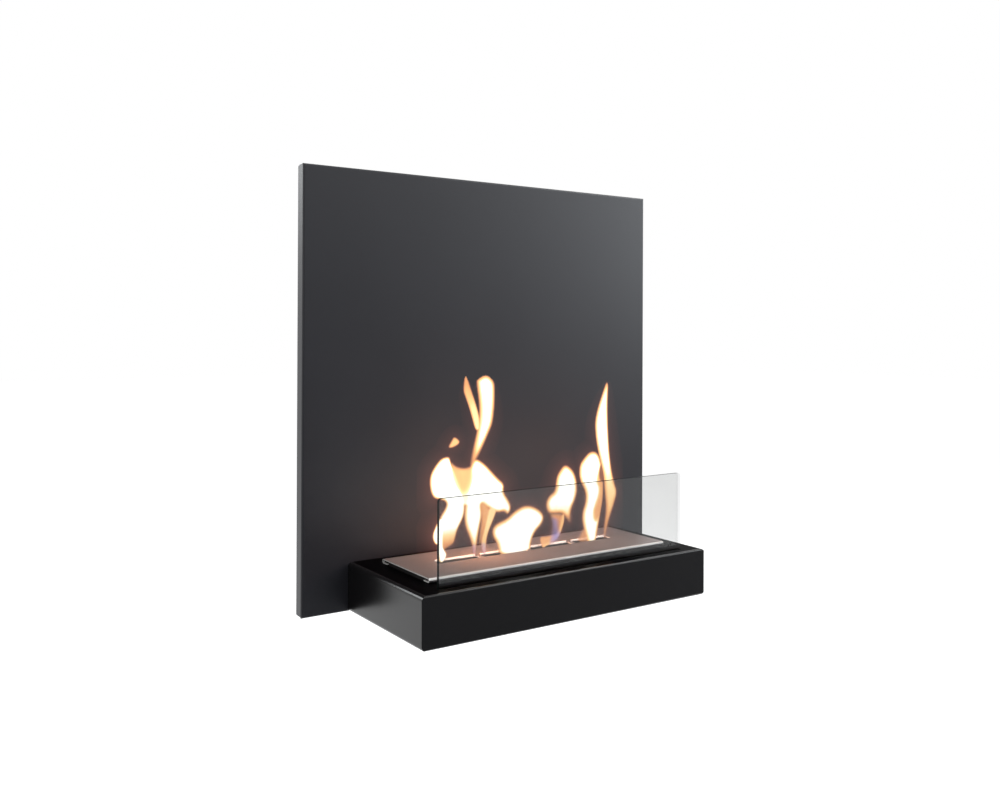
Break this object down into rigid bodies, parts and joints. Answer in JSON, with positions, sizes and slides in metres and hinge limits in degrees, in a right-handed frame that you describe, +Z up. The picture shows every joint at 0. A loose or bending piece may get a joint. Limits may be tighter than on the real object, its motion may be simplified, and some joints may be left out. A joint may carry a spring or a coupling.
{
  "type": "bioethanol fireplace",
  "caption": "Wall-hung square steel fireplace panel with a boxed shelf, a low glass screen and a lift-out bioethanol burner under a slotted sliding lid.",
  "frame": {"origin": "centre of the wall rail's rear face, which lies on the wall", "axes": "+X to the right as seen from the room, +Y into the wall, +Z up; the front faces -Y"},
  "size_m": [0.6, 0.2252, 0.6],
  "materials": {
    "panel_paint": "fine matt powder coat, anthracite black",
    "shelf_paint": "satin black powder coat",
    "black_paint": "heat-resistant black paint",
    "brushed_steel": "stainless steel brushed along its length",
    "stainless_steel": "mill-finish stainless sheet",
    "galvanised_steel": "galvanised sheet",
    "zinc_steel": "zinc-plated fasteners",
    "glass": "clear toughened glass with polished edges",
    "silicone": "black silicone strip",
    "rubber": "matt black rubber",
    "ceramic_pad": "rough pressed ceramic",
    "ceramic_wool": "off-white ceramic-fibre wool"
  },
  "bodies": {
    "wall_bracket": {"wall_rail": "galvanised_steel"},
    "fireplace": {"back_panel": "panel_paint", "stiffener_left": "galvanised_steel", "stiffener_right": "galvanised_steel", "hanging_rail": "galvanised_steel", "wall_pad_1": "rubber", "wall_pad_2": "rubber", "wall_pad_3": "rubber", "wall_pad_4": "rubber", "shelf_bolt_1": "zinc_steel", "shelf_bolt_2": "zinc_steel", "shelf_bolt_3": "zinc_steel", "shelf_bolt_4": "zinc_steel", "shelf_washer_1": "zinc_steel", "shelf_washer_2": "zinc_steel", "shelf_washer_3": "zinc_steel", "shelf_washer_4": "zinc_steel", "shelf_nut_1": "zinc_steel", "shelf_nut_2": "zinc_steel", "shelf_nut_3": "zinc_steel", "shelf_nut_4": "zinc_steel", "shelf_housing": "shelf_paint", "bottom_cover": "galvanised_steel", "cover_screw_1": "zinc_steel", "cover_screw_2": "zinc_steel", "cover_screw_3": "zinc_steel", "cover_screw_4": "zinc_steel", "cover_screw_5": "zinc_steel", "cover_screw_6": "zinc_steel", "cover_screw_7": "zinc_steel", "burner_support_left": "galvanised_steel", "burner_support_right": "galvanised_steel", "glass_channel": "galvanised_steel", "channel_nut_1": "zinc_steel", "channel_nut_2": "zinc_steel", "channel_nut_3": "zinc_steel", "channel_nut_4": "zinc_steel", "glass_gasket": "silicone"},
    "screen": {"glass_pane": "glass"},
    "burner": {"burner_box": "black_paint", "fuel_tank": "stainless_steel", "absorbent_block": "ceramic_wool", "retaining_mesh": "stainless_steel", "tank_spacer_1": "ceramic_pad", "tank_spacer_2": "ceramic_pad", "tank_spacer_3": "ceramic_pad", "tank_spacer_4": "ceramic_pad"},
    "lid": {"flame_lid": "brushed_steel"}
  },
  "joints": [
    {"name": "unhook", "type": "slide", "parent": "wall_bracket", "child": "fireplace", "axis": [0, 0, 1], "range_m": [0, 0.03]},
    {"name": "glass_lift", "type": "slide", "parent": "fireplace", "child": "screen", "axis": [0, 0, 1], "range_m": [0, 0.05]},
    {"name": "burner_lift", "type": "slide", "parent": "fireplace", "child": "burner", "axis": [0, 0, 1], "range_m": [0, 0.18]},
    {"name": "lid_slide", "type": "slide", "parent": "burner", "child": "lid", "axis": [1, 0, 0], "range_m": [-0.4, 0.4]}
  ]
}
